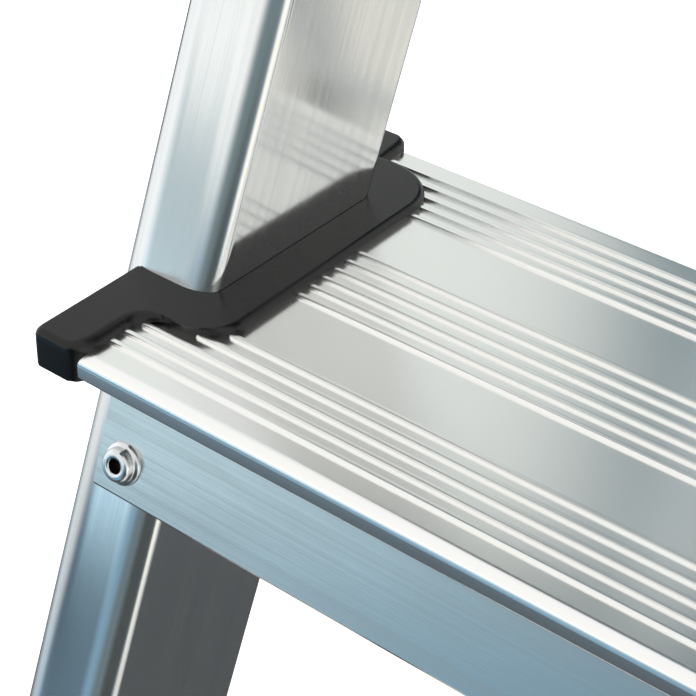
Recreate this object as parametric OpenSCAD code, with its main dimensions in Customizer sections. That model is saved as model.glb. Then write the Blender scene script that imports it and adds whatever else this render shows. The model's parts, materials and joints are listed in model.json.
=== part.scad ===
// Single-sided folding step ladder: three treads and a platform.
// X is the width, the climber stands at -Y, Z is up and the feet stand on Z = 0.

/* [Front frame] */
// Outer width of the two stiles at the floor
base_w = 470; // [420:5:560]
// Lean of the front frame from upright, in degrees
lean = 19; // [16:0.5:21]
// Inward lean of each stile, in degrees
taper = 1.7; // [1:0.1:2]
// Rise from one tread to the next
rise = 235; // [200:5:260]
// Height of the stile tops above the platform
rail_h = 600; // [480:10:700]
// Width of a stile, across the ladder
stile_w = 27; // [24:1:32]
// Depth of a stile, front to back
stile_d = 60; // [50:1:70]
// Wall of a stile
stile_wall = 1.6; // [1.4:0.1:2]
// Outer corner radius of a stile
stile_r = 4; // [3:0.5:5]
// Width of each lip beside the open side of a stile
stile_lip = 13; // [10:1:16]

/* [Treads] */
// Depth of a tread, front to back
tread_d = 125; // [110:1:145]
// Distance from a tread's front edge back to the stile
tread_nose = 32.5; // [26:0.5:36]
// Distance from a stile's outer face in to the tread cap
tread_inset = 5.8; // [4:0.2:8]
// Height of the rounded front edge
nose_h = 7.4; // [6.5:0.1:9]
// Radius of the rounded front edge
nose_r = 3; // [2:0.5:5.5]
// Wall of the tread profile
tread_wall = 1.6; // [1.4:0.1:2]
// Height of the grip ribs
rib_h = 0.9; // [0.6:0.1:1.1]
// Width of one grip rib
rib_w = 1.2; // [0.8:0.1:1.6]
// Spacing of the grip ribs
rib_pitch = 4.65; // [4:0.05:5]
// Depth of the skirts below the tread's top
skirt_h = 50.8; // [40:0.2:60]
// Thickness of a skirt
skirt_t = 1.8; // [1.5:0.1:2.2]

/* [Tread caps] */
// Height of a cap above the ribs
cap_t = 2; // [1.5:0.1:3]
// Width of the cap beside the stile
cap_band = 12; // [10:0.2:13]
// Width of the cap in front of the stile
cap_front = 11; // [10:0.2:12]
// Width of the cap over the tread's corners, at its outer edge
cap_lobe = 10.4; // [9:0.2:12]
// Width of the cap over the tread's corners, where it has flared out
cap_flare = 13; // [12:0.2:14]
// Wall of the cap around the tread's corner
cap_wall = 1.1; // [0.9:0.1:1.5]

/* [Rear frame] */
// Lean of the rear frame from upright, in degrees
rear_lean = 20; // [16:0.5:22]
// Depth of a rear stile
rear_d = 40; // [34:1:44]
// Width of a rear stile
rear_w = 20; // [18:1:24]
// Wall of a rear stile and its bars
rear_wall = 1.6; // [1.4:0.1:2]
// Diameter of the round top bar that carries the platform
top_bar_d = 25; // [22:1:28]
// Distance down the rear stile from the hinge to the top bar
top_bar_drop = 50; // [46:1:56]
// Height of the flat cross bars
bar_h = 30; // [25:1:40]

/* [Platform] */
// Width of the platform
platform_w = 328; // [270:2:336]
// Depth of the platform
platform_d = 240; // [220:5:260]
// Thickness of the platform deck
deck_t = 25; // [22:1:27]
// Thickness of the platform's side rails
side_t = 3; // [2:0.5:4]

/* [Hinges and fasteners] */
// Diameter of the hinge bolts
bolt_d = 8; // [6:1:10]
// Running clearance of a hinge bolt in its bush, on the radius
run_gap = 0.05; // [0.02:0.01:0.08]
// Thickness of the hinge brackets
bracket_t = 4; // [3:0.5:5]
// Distance from the stile's front face back to the rear hinge
hinge_n = 115; // [112:1:130]
// Diameter of the tread rivets
rivet_d = 4.8; // [4:0.2:6]

/* [Feet and tray] */
// Wall of a foot around its stile
foot_wall = 3.5; // [2.5:0.5:5]
// Height of a foot
foot_h = 62; // [45:1:80]
// Thickness of a foot's sole
sole_t = 8; // [5:1:12]
// Depth of the tool tray, front to back
tray_d = 150; // [130:5:180]
// Height of the tool tray
tray_h = 52; // [40:1:60]
// Wall of the tool tray
tray_wall = 3; // [2.5:0.5:4]

/* [Hidden] */
$fn = 48;

tread_count = 3;
fit = 0.1;                 // slack between pieces that are fixed together
swing_gap = 0.3;           // gap between bodies that only pass or rest
big = 4000;                // side of the cutting blocks

// Heights, and places in the slope plane of the front stiles' front faces:
// n runs back from that plane and s runs up it from the floor.
platform_z = rise * (tread_count + 1);
slope_top = (platform_z + rail_h) / cos(lean);
function slope_s(z, n) = (z + n * sin(lean)) / cos(lean);
function slope_y(s, n) = s * sin(lean) + n * cos(lean);
function outer_x(s) = base_w / 2 - s * tan(taper);
function web_x(s) = outer_x(s) - stile_w / cos(taper);

// Platform hinge, inside the stile's depth
deck_drop = 22;            // hinge axis below the deck's top
tilt_n = stile_d / 2;
tilt_z = platform_z - deck_drop;
tilt_s = slope_s(tilt_z, tilt_n);
// Rear hinge, behind the treads
hinge_drop = 5;            // hinge axis below the platform's top
hinge_z = platform_z - hinge_drop;
hinge_s = slope_s(hinge_z, hinge_n);
hinge_y0 = slope_y(hinge_s, hinge_n);

// The floor line of the front faces, which centres the open ladder on Y = 0
front_reach = foot_wall / cos(lean);
rear_reach = hinge_y0 + hinge_z * tan(rear_lean)
    + (rear_d / 2 + foot_wall) / cos(rear_lean);
front_y = (front_reach - rear_reach) / 2;
hinge_y = front_y + hinge_y0;
tilt_y = front_y + slope_y(tilt_s, tilt_n);

// Tread
tread_plate_z = -rib_h;
front_rib = 9.9;           // first rib behind the nose
nose_ribs = 5;
middle_ribs = 6;
skirt_y_t = skirt_t / cos(lean);
rivet_down = 44.6;         // rivet below the tread's top, along the slope
rivet_in = 16;             // rivet from the stile's outer face
cap_front_r = 11;
cap_back_r = 15.8;
cap_neck_r = 6.5;
cap_flare_y = 4;           // where the flare ends, from the tread's edge
cap_back = 12.3;           // from the tread's back edge to the cap band's back edge
cap_slot = 2;              // slot in the cap behind the stile
cap_slot_in = 5;           // the slot's end, short of the stile's inner face
cap_block = 9;             // depth of the solid corner blocks
cap_side = tread_nose - 6; // depth of the thin side walls behind them

// Rear frame
bush_flange_r = 9;
bush_flange_t = 2;
bush_wall = 2;
bush_r = bolt_d / 2 + run_gap + bush_wall;
bush_gap = 0.6;            // bracket to bush flange: the bracket leans by the taper
rear_face_x = web_x(hinge_s) + bush_gap + bush_flange_t;
rear_len = hinge_z / cos(rear_lean);
rear_top = 21;             // rear stile above its hinge
rear_r = 3;                // outer corner radius of the rear stiles and flat bars
bar_d = rear_d / 2;
middle_drop = rear_len * 0.5;
bottom_drop = rear_len * 0.86;
brace_w = 20;
brace_t = 2.5;
brace_inner_x = 55;        // lower end of a brace, from the middle
brace_rise = 190;          // a brace's upper end above the bottom bar

// Platform
side_x = platform_w / 2;
deck_nose = 26;            // platform in front of the stile's front face
deck_y = front_y + platform_z * tan(lean) - deck_nose;
bar_y = hinge_y + top_bar_drop * sin(rear_lean);
bar_z = hinge_z - top_bar_drop * cos(rear_lean);
saddle_r = top_bar_d / 2 + swing_gap;
side_bottom = bar_z + saddle_r * cos(60);
side_top = platform_z - rib_h - tread_wall - 1;

function arc(cx, cy, r, a0, a1, n) =
    [for (i = [0:n]) let (a = a0 + (a1 - a0) * i / n) [cx + r * cos(a), cy + r * sin(a)]];

// ---------- places ----------

module on_side(side) { mirror([side > 0 ? 1 : 0, 0, 0]) children(); }

// Left stile's own frame: x in from its outer face, y back, z up along it
module on_stile() {
    translate([0, front_y, 0]) rotate([-lean, 0, 0])
        translate([-base_w / 2, 0, 0]) rotate([0, taper, 0]) children();
}

// Slope frame of the front frame: x, n and s
module on_slope() { translate([0, front_y, 0]) rotate([-lean, 0, 0]) children(); }

// Rear frame: origin on the rear hinge, z up along the frame, y to its back
module on_rear() { translate([0, hinge_y, hinge_z]) rotate([rear_lean, 0, 0]) children(); }

// Left rear stile's own frame: x in from its outer face
module on_rear_stile() {
    on_rear() translate([-rear_face_x, 0, 0]) rotate([0, taper, 0])
        translate([-rear_w, -rear_d / 2, 0]) children();
}

module along_x(x0, x1) {
    translate([x0, 0, 0]) rotate([90, 0, 90]) linear_extrude(x1 - x0) children();
}

module at_tread(k) {
    z = k * rise;
    translate([0, front_y + z * tan(lean) - tread_nose, z]) children();
}

// Distance from the middle of tread k to the outer end of its caps
function tread_half(k) = outer_x(k * rise / cos(lean)) - tread_inset;

// ---------- shared shapes ----------

module rounded_rect(w, d, r) {
    translate([r, 0]) square([w - 2 * r, d]);
    translate([0, r]) square([w, d - 2 * r]);
    for (x = [r, w - r], y = [r, d - r]) translate([x, y]) circle(r);
}

module tube_2d(w, d, r, wall) {
    difference() {
        rounded_rect(w, d, r);
        translate([wall, wall]) rounded_rect(w - 2 * wall, d - 2 * wall, r - wall);
    }
}

module below(z) { translate([-big / 2, -big / 2, z - big]) cube([big, big, big]); }

// The left stile's space, open outward, for the cuts that fit around it
module stile_space(in_gap, n_gap) {
    on_stile() translate([-stile_w, -n_gap, 0])
        cube([2 * stile_w + in_gap, stile_d + 2 * n_gap, slope_top]);
}

// Blind rivet along +Z: its head stands below z = 0, the grip is above it
module blind_rivet(d, grip) {
    r = d / 2;
    flange_r = r + 3.1;
    dome_r = r + 1.95;
    core_r = 1.8;
    rotate_extrude() polygon(concat(
        [[core_r, -1.2], [core_r, -3.3], [core_r + 0.9, -3.5]],
        [[dome_r - 0.7, -3.2], [dome_r, -2.4], [dome_r, -1.1], [flange_r, -0.7], [flange_r, 0]],
        [[r, 0], [r, grip], [r + 0.9, grip + 0.6], [r + 0.9, grip + 2.6], [r, grip + 3.6]],
        [[0, grip + 3.6], [0, -1.2]]));
}

// Low round-headed rivet or screw along +Z with its head below z = 0
module round_screw(r, head_r, head_h, length) {
    rotate_extrude() polygon(concat(
        [[0, -head_h]], [[head_r * 0.55, -head_h]],
        arc(head_r * 0.55, -head_h * 0.35, head_r * 0.45, -62, 0, 4),
        [[head_r, 0], [r, 0], [r, length], [0, length]]));
}

// Hex socket cut in a screw's head
module socket_cut(r, head_h) {
    translate([0, 0, -head_h - 1]) cylinder(r = r, h = 1 + head_h * 0.6, $fn = 6);
}

// ---------- front frame ----------

module stile_holes() {
    for (k = [1:tread_count]) {
        s = k * rise / cos(lean) - rivet_down;
        translate([rivet_in, -1, s]) rotate([-90, 0, 0]) cylinder(d = rivet_d, h = stile_d + 2);
    }
}

// Holes along X for the platform bolt and the bracket rivets
module web_holes() {
    on_slope() translate([-base_w / 2, tilt_n, tilt_s]) rotate([0, 90, 0])
        cylinder(d = bolt_d, h = base_w / 2 - side_x);
    on_stile() for (p = bracket_rivet_points())
        translate([stile_w - 5, p[0], p[1]]) rotate([0, 90, 0])
            cylinder(d = rivet_d, h = 5 + bracket_t + 1);
}

module stile() {
    color("silver") difference() {
        on_stile() difference() {
            translate([0, 0, -stile_d]) linear_extrude(slope_top + stile_d - 6) difference() {
                tube_2d(stile_w, stile_d, stile_r, stile_wall);
                translate([-1, stile_lip]) square([stile_wall + 2, stile_d - 2 * stile_lip]);
            }
            stile_holes();
            foot_screw_cut();
            tray_screw_cut();
        }
        below(sole_t);
        web_holes();
    }
}

// Tread outline in y and z, without skirts: z = 0 at the tops of the ribs
module tread_outline() {
    y0 = cap_wall;
    y1 = tread_d - cap_wall;
    polygon(concat(
        [[y0, -nose_h]],
        arc(y0 + nose_r, tread_plate_z - nose_r, nose_r, 180, 90, 8),
        arc(y1 - nose_r, tread_plate_z - nose_r, nose_r, 90, 0, 8),
        [[y1, -nose_h]]));
}

function rib_places() = concat(
    [for (i = [0:nose_ribs - 1]) front_rib + i * rib_pitch],
    [for (i = [0:middle_ribs - 1])
        tread_d / 2 + (i - (middle_ribs - 1) / 2) * rib_pitch],
    [for (i = [0:nose_ribs - 1]) tread_d - front_rib - i * rib_pitch]);

module ribs_2d(places) {
    for (y = places) translate([y - rib_w / 2, -rib_h - 0.5]) square([rib_w, rib_h + 0.5]);
}

module tread_plate_2d() {
    inner_f = tread_nose - nose_h * tan(lean);
    inner_r = inner_f + stile_d / cos(lean);
    hollow_z = -nose_h + tread_wall;
    hollow_h = nose_h - 2 * tread_wall - rib_h;
    difference() {
        tread_outline();
        translate([cap_wall + tread_wall, hollow_z])
            square([inner_f - skirt_y_t - cap_wall - tread_wall, hollow_h]);
        translate([inner_r + skirt_y_t, hollow_z])
            square([tread_d - cap_wall - tread_wall - inner_r - skirt_y_t, hollow_h]);
        translate([inner_f, -nose_h - 1]) square([inner_r - inner_f, 1 + nose_h - rib_h - tread_wall]);
    }
    ribs_2d(rib_places());
}

// Skirt whose stile side is at y = at on the level z = 0 and which leans with the stiles
module skirt_2d(at, dir) {
    z0 = -nose_h + tread_wall;
    a = at - dir * fit;
    b = a - dir * skirt_y_t;
    polygon([[a + z0 * tan(lean), z0], [b + z0 * tan(lean), z0],
        [b - skirt_h * tan(lean), -skirt_h], [a - skirt_h * tan(lean), -skirt_h]]);
}

module tread(k) {
    half = tread_half(k) - cap_wall;
    color("gainsboro") difference() {
        union() {
            difference() {
                at_tread(k) along_x(-half, half) tread_plate_2d();
                for (side = [-1, 1]) on_side(side) stile_space(0.5, 0.5);
            }
            at_tread(k) along_x(-half, half) {
                skirt_2d(tread_nose, 1);
                skirt_2d(tread_nose + stile_d / cos(lean), -1);
            }
        }
        for (side = [-1, 1]) on_side(side) on_stile() stile_holes_long();
    }
}

// The rivet holes carried on through both skirts
module stile_holes_long() {
    for (k = [1:tread_count])
        translate([rivet_in, -skirt_t - 2, k * rise / cos(lean) - rivet_down])
            rotate([-90, 0, 0]) cylinder(d = rivet_d, h = stile_d + 2 * skirt_t + 4);
}

// Outline of a left cap: x in from its outer end, y back from the tread's front edge
module cap_outline() {
    band_x = tread_in_web() + cap_band;
    front_y0 = tread_nose - cap_front;
    back_y0 = tread_d - cap_back;
    polygon(concat(
        [[0, 1], [1, 0], [cap_lobe - 1, 0], [cap_lobe, 1], [cap_flare, cap_flare_y]],
        arc(cap_flare + cap_neck_r, front_y0 - cap_neck_r, cap_neck_r, 180, 90, 6),
        arc(band_x - cap_front_r, front_y0 + cap_front_r, cap_front_r, -90, 0, 8),
        arc(band_x - cap_back_r, back_y0 - cap_back_r, cap_back_r, 0, 90, 10),
        [[cap_flare, back_y0], [cap_flare, tread_d - cap_flare_y],
         [cap_lobe, tread_d - 1], [cap_lobe - 1, tread_d], [1, tread_d], [0, tread_d - 1]]));
}

// From the cap's outer end to the stile's inner face
function tread_in_web() = stile_w / cos(taper) - tread_inset;

module tread_cap(k) {
    half = tread_half(k);
    block_h = nose_h + cap_wall;
    color([0.09, 0.09, 0.1]) difference() {
        at_tread(k) translate([-half, 0, 0]) {
            linear_extrude(cap_t) cap_outline();
            for (y = [0, tread_d - cap_block]) translate([0, y, -block_h])
                cube([cap_lobe, cap_block, block_h + 0.5]);
            for (y = [0, tread_d - cap_side]) translate([0, y, -block_h])
                cube([cap_wall - fit, cap_side, block_h + 0.5]);
        }
        at_tread(k) along_x(-half + cap_wall - fit, 0) {
            tread_outline();
            ribs_2d(rib_places());
            translate([cap_wall + 1, -nose_h]) square([tread_d - 2 * cap_wall - 2, nose_h - rib_h]);
        }
        stile_space(fit, fit);
        stile_space_slot();
    }
}

// Slot behind the stile, left by the cap's mould
module stile_space_slot() {
    on_stile() translate([-stile_w, 1, 0])
        cube([2 * stile_w - cap_slot_in, stile_d + cap_slot, slope_top]);
}

module tread_rivets() {
    color("whitesmoke") for (side = [-1, 1]) on_side(side) on_stile() for (k = [1:tread_count]) {
        s = k * rise / cos(lean) - rivet_down;
        translate([rivet_in, -skirt_t - fit, s]) rotate([-90, 0, 0])
            blind_rivet(rivet_d, skirt_t + fit + stile_wall);
        translate([rivet_in, stile_d + skirt_t + fit, s]) rotate([90, 0, 0])
            blind_rivet(rivet_d, skirt_t + fit + stile_wall);
    }
}

foot_screw_z = 42;         // foot fastener up the stile from the floor
module foot_screw_cut() {
    translate([stile_w / 2, -1, foot_screw_z]) rotate([-90, 0, 0]) cylinder(d = rivet_d, h = 5);
}

module front_foot() {
    w = stile_w + 2 * foot_wall;
    d = stile_d + 2 * foot_wall;
    color([0.12, 0.12, 0.13]) difference() {
        on_stile() translate([-foot_wall, -foot_wall, -stile_d])
            linear_extrude(stile_d + foot_h) rounded_rect(w, d, stile_r + foot_wall);
        below(0);
        difference() {
            on_stile() translate([-fit, -fit, -stile_d]) linear_extrude(big / 2)
                rounded_rect(stile_w + 2 * fit, stile_d + 2 * fit, stile_r);
            below(sole_t);
        }
        on_stile() translate([0, -foot_wall, 0]) foot_screw_cut();
    }
}

module front_foot_rivets() {
    color("silver") for (side = [-1, 1]) on_side(side) on_stile()
        translate([stile_w / 2, -foot_wall, foot_screw_z]) rotate([-90, 0, 0])
            blind_rivet(rivet_d, foot_wall + stile_wall);
}

// ---------- hinge brackets ----------

bracket_edge = 5;
bracket_low = tilt_s - 48;
bracket_high = hinge_s + 34;
bracket_rivet_in = 14;     // bracket rivets in from its ends and from the stile's back
pivot_r = 19;

function bracket_rivet_points() = [
    for (n = [bracket_rivet_in + 2, stile_d - bracket_rivet_in])
        for (s = [bracket_low + bracket_rivet_in, bracket_high - bracket_rivet_in]) [n, s]];

// In n and s: a plate on the stile's web with an arm back to the hinge's round end
module bracket_2d() {
    polygon(concat(
        [[bracket_edge, bracket_low], [stile_d - bracket_edge, bracket_low]],
        arc(hinge_n, hinge_s, pivot_r, -50, 90, 16),
        [[stile_d - bracket_edge, bracket_high], [bracket_edge, bracket_high]]));
}

module hinge_bracket() {
    color("lightgray") difference() {
        on_stile() translate([stile_w, 0, 0]) along_x(0, bracket_t) bracket_2d();
        web_holes();
        hinge_axis(-base_w / 2) cylinder(d = bolt_d, h = base_w / 2);
    }
}

// Children stand on the left rear hinge axis, along +X from x
module hinge_axis(x) { translate([x, hinge_y, hinge_z]) rotate([0, 90, 0]) children(); }
module tilt_axis(x) { translate([x, tilt_y, tilt_z]) rotate([0, 90, 0]) children(); }

module bracket_rivets() {
    color("whitesmoke") for (side = [-1, 1], p = bracket_rivet_points()) on_side(side) on_stile()
        translate([stile_w + bracket_t, p[0], p[1]]) rotate([0, -90, 0])
            round_screw(rivet_d / 2, rivet_d, 2, bracket_t + stile_wall);
}

bracket_in_x = web_x(hinge_s) - bracket_t / cos(taper);
bolt_head_r = bolt_d * 0.95;
bolt_head_h = bolt_d / 2;
nut_h = bolt_d * 0.75;

module rear_hinge_bolts() {
    seat = bracket_in_x - hinge_slack();
    color("silver") for (side = [-1, 1]) on_side(side) difference() {
        translate([-seat, hinge_y, hinge_z]) rotate([0, -90, 0])
            round_screw(bolt_d / 2, bolt_head_r, bolt_head_h, rear_face_x + rear_w + nut_h + 1 - seat);
        translate([-seat, hinge_y, hinge_z]) rotate([0, -90, 0])
            socket_cut(bolt_d * 0.3, bolt_head_h);
    }
}

// A bolt head seats on the bracket's highest point under it, because the bracket leans
function hinge_slack() = bolt_d * sin(taper);

module hex_nut(d, h) {
    difference() {
        cylinder(r = d * 0.92, h = h, $fn = 6);
        translate([0, 0, -1]) cylinder(d = d, h = h + 2);
    }
}

module rear_hinge_nuts() {
    color("silver") for (side = [-1, 1]) on_side(side)
        hinge_axis(-rear_face_x - rear_w - 0.8 - nut_h) hex_nut(bolt_d, nut_h);
}

tilt_web_x = web_x(tilt_s);
module platform_bolts() {
    seat = tilt_web_x + stile_wall / cos(taper) + hinge_slack();
    length = seat - side_x + side_t + swing_gap + nut_h + 1;
    color("silver") for (side = [-1, 1]) on_side(side) difference() {
        tilt_axis(-seat) round_screw(bolt_d / 2, bolt_head_r, bolt_head_h, length);
        tilt_axis(-seat) socket_cut(bolt_d * 0.3, bolt_head_h);
    }
}

module platform_nuts() {
    color("silver") for (side = [-1, 1]) on_side(side)
        tilt_axis(-side_x + side_t + swing_gap) hex_nut(bolt_d, nut_h);
}

// ---------- tool tray ----------

tray_top_t = 6;            // tray above the stile tops
tray_front = 4;            // tray in front of the stile, at the tray's lower edge
tray_side = 5;             // tray outside the stile's outer face
tray_r = 14;
socket_t = 4;              // wall of the sockets that take the stile tops
tray_z = platform_z + rail_h - tray_h + tray_top_t;
tray_y = front_y + tray_z * tan(lean) - tray_front;
tray_half = outer_x(slope_top) + tray_side;
bowl_half = web_x(slope_top) - 8;
tray_screw_s = slope_top - 24;
tray_screw_d = 4;

module tray_screw_cut() {
    translate([stile_w / 2, -1, tray_screw_s]) rotate([-90, 0, 0]) cylinder(d = tray_screw_d, h = 5);
}

module tray_block() {
    translate([-tray_half, tray_y, tray_z]) linear_extrude(tray_h)
        rounded_rect(2 * tray_half, tray_d, tray_r);
}

// Round the left stile's top, which is square to the stile
module stile_top_space(gap, up) {
    on_stile() translate([-gap, -gap, slope_top / 2]) linear_extrude(slope_top / 2 - tray_top_t + up)
        rounded_rect(stile_w + 2 * gap, stile_d + 2 * gap, stile_r);
}

module tool_tray() {
    end_x = bowl_half + tray_wall;
    end_w = tray_half - end_x - tray_wall;
    color([0.13, 0.13, 0.14]) difference() {
        union() {
            difference() {
                tray_block();
                for (side = [-1, 1]) on_side(side)
                    translate([-end_x - end_w, tray_y + tray_wall, tray_z - 1])
                        cube([end_w, tray_d - 2 * tray_wall, tray_h + 1 - tray_wall]);
            }
            for (side = [-1, 1]) on_side(side) intersection() {
                stile_top_space(fit + socket_t, socket_t);
                tray_block();
            }
        }
        translate([-bowl_half, tray_y + tray_wall, tray_z + tray_wall]) linear_extrude(tray_h)
            rounded_rect(2 * bowl_half, tray_d - 2 * tray_wall, tray_r - tray_wall);
        for (side = [-1, 1]) on_side(side) {
            stile_top_space(fit, fit);
            on_stile() translate([stile_w / 2, -socket_t - 1, tray_screw_s]) rotate([-90, 0, 0])
                cylinder(d = tray_screw_d, h = socket_t + 2);
            on_stile() translate([stile_w / 2, -40 - socket_t, tray_screw_s]) rotate([-90, 0, 0])
                cylinder(d = 2.6 * tray_screw_d, h = 40);
        }
    }
}

module tray_screws() {
    color("silver") for (side = [-1, 1]) on_side(side) on_stile()
        translate([stile_w / 2, -socket_t, tray_screw_s]) rotate([-90, 0, 0]) difference() {
            round_screw(tray_screw_d / 2, tray_screw_d, 2.4, socket_t + stile_wall + 3);
            socket_cut(1.3, 2.4);
        }
}

// ---------- rear frame ----------

rear_foot_screw_z = -rear_len + 50;

module rear_stile() {
    color("silver") difference() {
        on_rear_stile() difference() {
            translate([0, 0, -rear_len - rear_d]) linear_extrude(rear_len + rear_d + rear_top)
                tube_2d(rear_w, rear_d, rear_r, rear_wall);
            for (p = bar_screw_places) translate([-1, p[0], -p[1]])
                rotate([0, 90, 0]) cylinder(r = bar_screw_r, h = rear_w + 2);
            translate([rear_w / 2, rear_d - 4, rear_foot_screw_z]) rotate([-90, 0, 0])
                cylinder(d = rivet_d, h = 5);
        }
        brace_holes();
        below(sole_t);
        hinge_axis(-base_w) cylinder(r = bush_r + fit, h = base_w);
    }
}

// The stile leans by the taper, so the flange stands clear of it at its upper edge
module rear_hinge_bushes() {
    flange_in = fit + bush_flange_r * tan(taper);
    color("ivory") for (side = [-1, 1]) on_side(side) difference() {
        hinge_axis(-rear_face_x - rear_w) {
            cylinder(r = bush_r, h = rear_w + flange_in + 0.5);
            translate([0, 0, rear_w + flange_in])
                cylinder(r = bush_flange_r, h = bush_flange_t - flange_in);
        }
        hinge_axis(-rear_face_x - rear_w - 1)
            cylinder(r = bolt_d / 2 + run_gap, h = rear_w + bush_flange_t + 2);
    }
}

module rear_stile_plugs() {
    plug_t = 3;
    color([0.12, 0.12, 0.13]) for (side = [-1, 1]) on_side(side) on_rear_stile() {
        translate([0, 0, rear_top + fit]) linear_extrude(plug_t) rounded_rect(rear_w, rear_d, rear_r);
        translate([rear_wall + fit, rear_wall + fit, rear_top - 6]) linear_extrude(7)
            rounded_rect(rear_w - 2 * (rear_wall + fit), rear_d - 2 * (rear_wall + fit), 2);
    }
}

// Inner face of the rear stile, t below the hinge
function rear_gap_x(t) = rear_face_x + t * tan(taper) - fit;

module rear_bar_top() {
    half = rear_gap_x(top_bar_drop) - top_bar_d / 2 * sin(taper);
    color("silver") on_rear() translate([-half, 0, -top_bar_drop]) rotate([0, 90, 0]) difference() {
        cylinder(d = top_bar_d, h = 2 * half);
        translate([0, 0, -1]) cylinder(d = top_bar_d - 2 * rear_wall, h = 2 * half + 2);
    }
}

module rear_bar(t) {
    half = rear_gap_x(t - bar_h / 2);
    color("silver") difference() {
        on_rear() along_x(-half, half) translate([0, -t - bar_h / 2])
            tube_2d(bar_d, bar_h, rear_r, rear_wall);
        for (side = [-1, 1]) on_side(side) brace_holes();
    }
}

// Screws through the rear stile into each bar: [back from the stile's front, down from the hinge]
bar_screw_r = 3;
bar_screw_places = [
    [rear_d / 2, top_bar_drop],
    [rear_d - bar_d / 2, middle_drop],
    [rear_d - bar_d / 2, bottom_drop]];

module rear_bar_screws() {
    head_h = bar_screw_r * 1.05;
    color("silver") for (side = [-1, 1], p = bar_screw_places) on_side(side) on_rear_stile()
        translate([0, p[0], -p[1]]) rotate([0, 90, 0]) difference() {
            round_screw(bar_screw_r, bar_screw_r * 1.85, head_h, rear_w + 12);
            socket_cut(bar_screw_r * 0.63, head_h);
        }
}

// Ends of the left brace in the rear frame's x and height
function brace_low() = [-brace_inner_x, -bottom_drop];
function brace_high() = let (t = bottom_drop - brace_rise)
    [-(rear_face_x + t * tan(taper) + rear_w / 2), -t];

// Rivet holes at both ends of the left brace, through the brace and the wall it lies on
module brace_holes() {
    on_rear() for (p = [brace_low(), brace_high()])
        translate([p[0], rear_d / 2 - 5, p[1]]) rotate([-90, 0, 0])
            cylinder(d = rivet_d, h = 5 + brace_t + 1);
}

module rear_brace() {
    a = brace_low();
    b = brace_high();
    v = b - a;
    len = norm(v);
    turn = atan2(v[1], v[0]);
    color("silver") difference() {
        on_rear() translate([a[0], rear_d / 2 + fit, a[1]]) rotate([0, -turn, 0]) {
            translate([0, 0, -brace_w / 2]) cube([len, brace_t, brace_w]);
            for (x = [0, len]) translate([x, 0, 0]) rotate([-90, 0, 0])
                cylinder(d = brace_w, h = brace_t);
        }
        brace_holes();
    }
}

module brace_rivets() {
    color("whitesmoke") for (side = [-1, 1], p = [brace_low(), brace_high()]) on_side(side)
        on_rear() translate([p[0], rear_d / 2 + fit + brace_t, p[1]]) rotate([90, 0, 0])
            round_screw(rivet_d / 2, rivet_d, 2, fit + brace_t + rear_wall);
}

module rear_foot() {
    w = rear_w + 2 * foot_wall;
    d = rear_d + 2 * foot_wall;
    color([0.12, 0.12, 0.13]) difference() {
        on_rear_stile() translate([-foot_wall, -foot_wall, -rear_len - rear_d])
            linear_extrude(rear_d + foot_h) rounded_rect(w, d, rear_r + foot_wall);
        below(0);
        difference() {
            on_rear_stile() translate([-fit, -fit, -rear_len - rear_d]) linear_extrude(rear_len)
                rounded_rect(rear_w + 2 * fit, rear_d + 2 * fit, rear_r);
            below(sole_t);
        }
        on_rear_stile() translate([rear_w / 2, rear_d - 1, rear_foot_screw_z]) rotate([-90, 0, 0])
            cylinder(d = rivet_d, h = foot_wall + 2);
    }
}

module rear_foot_rivets() {
    color("silver") for (side = [-1, 1]) on_side(side) on_rear_stile()
        translate([rear_w / 2, rear_d + foot_wall, rear_foot_screw_z]) rotate([90, 0, 0])
            blind_rivet(rivet_d, foot_wall + rear_wall);
}

// ---------- platform ----------

deck_wall = 2;
deck_groups = [3, 4, 4, 4, 3];

deck_lip = 12;
port_r = 4.5;              // round ribs under the deck that take the side screws
port_sink = 1;             // how far a port runs into the wall and lip beside it
port_z = -deck_t + deck_wall + port_r - port_sink;
port_places = [deck_wall + port_r - port_sink, platform_d - deck_wall - port_r + port_sink];
port_screw = 14;           // depth of a side screw in its port

function deck_ribs() = [for (g = [0:len(deck_groups) - 1], i = [0:deck_groups[g] - 1])
    front_rib + (platform_d - 2 * front_rib) * (g + 0.5) / len(deck_groups)
        + (i - (deck_groups[g] - 1) / 2) * rib_pitch];

module deck_shell_2d() {
    difference() {
        polygon(concat(
            [[0, -deck_t]],
            arc(nose_r, tread_plate_z - nose_r, nose_r, 180, 90, 8),
            arc(platform_d - nose_r, tread_plate_z - nose_r, nose_r, 90, 0, 8),
            [[platform_d, -deck_t]]));
        translate([deck_wall, -deck_t - 1])
            square([platform_d - 2 * deck_wall, 1 + deck_t - rib_h - deck_wall]);
    }
}

// The deck's whole profile between x0 and x1
module deck_profile(x0, x1) {
    along_x(x0, x1) deck_shell_2d();
    for (y = [0, platform_d - deck_lip])
        along_x(x0, x1) translate([y, -deck_t]) square([deck_lip, deck_wall]);
    for (y = [platform_d / 3, platform_d * 2 / 3])
        along_x(x0, x1) translate([y, -deck_t]) square([deck_wall, deck_t - rib_h - 0.5]);
    for (y = port_places) along_x(x0, x1) translate([y, port_z]) circle(port_r);
    for (y = deck_ribs())
        along_x(x0, x1) translate([y - rib_w / 2, -rib_h - 0.5]) square([rib_w, rib_h + 0.5]);
}

// Screw holes along X through the left side rail and into the deck's ports
module port_holes() {
    for (y = port_places) translate([-side_x - 1, deck_y + y, platform_z + port_z])
        rotate([0, 90, 0]) cylinder(d = rivet_d, h = 1 + side_t + port_screw);
}

module platform_deck() {
    half = side_x - side_t - fit;
    color("gainsboro") difference() {
        translate([0, deck_y, platform_z]) deck_profile(-half, half);
        for (side = [-1, 1]) on_side(side) port_holes();
    }
}

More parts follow.
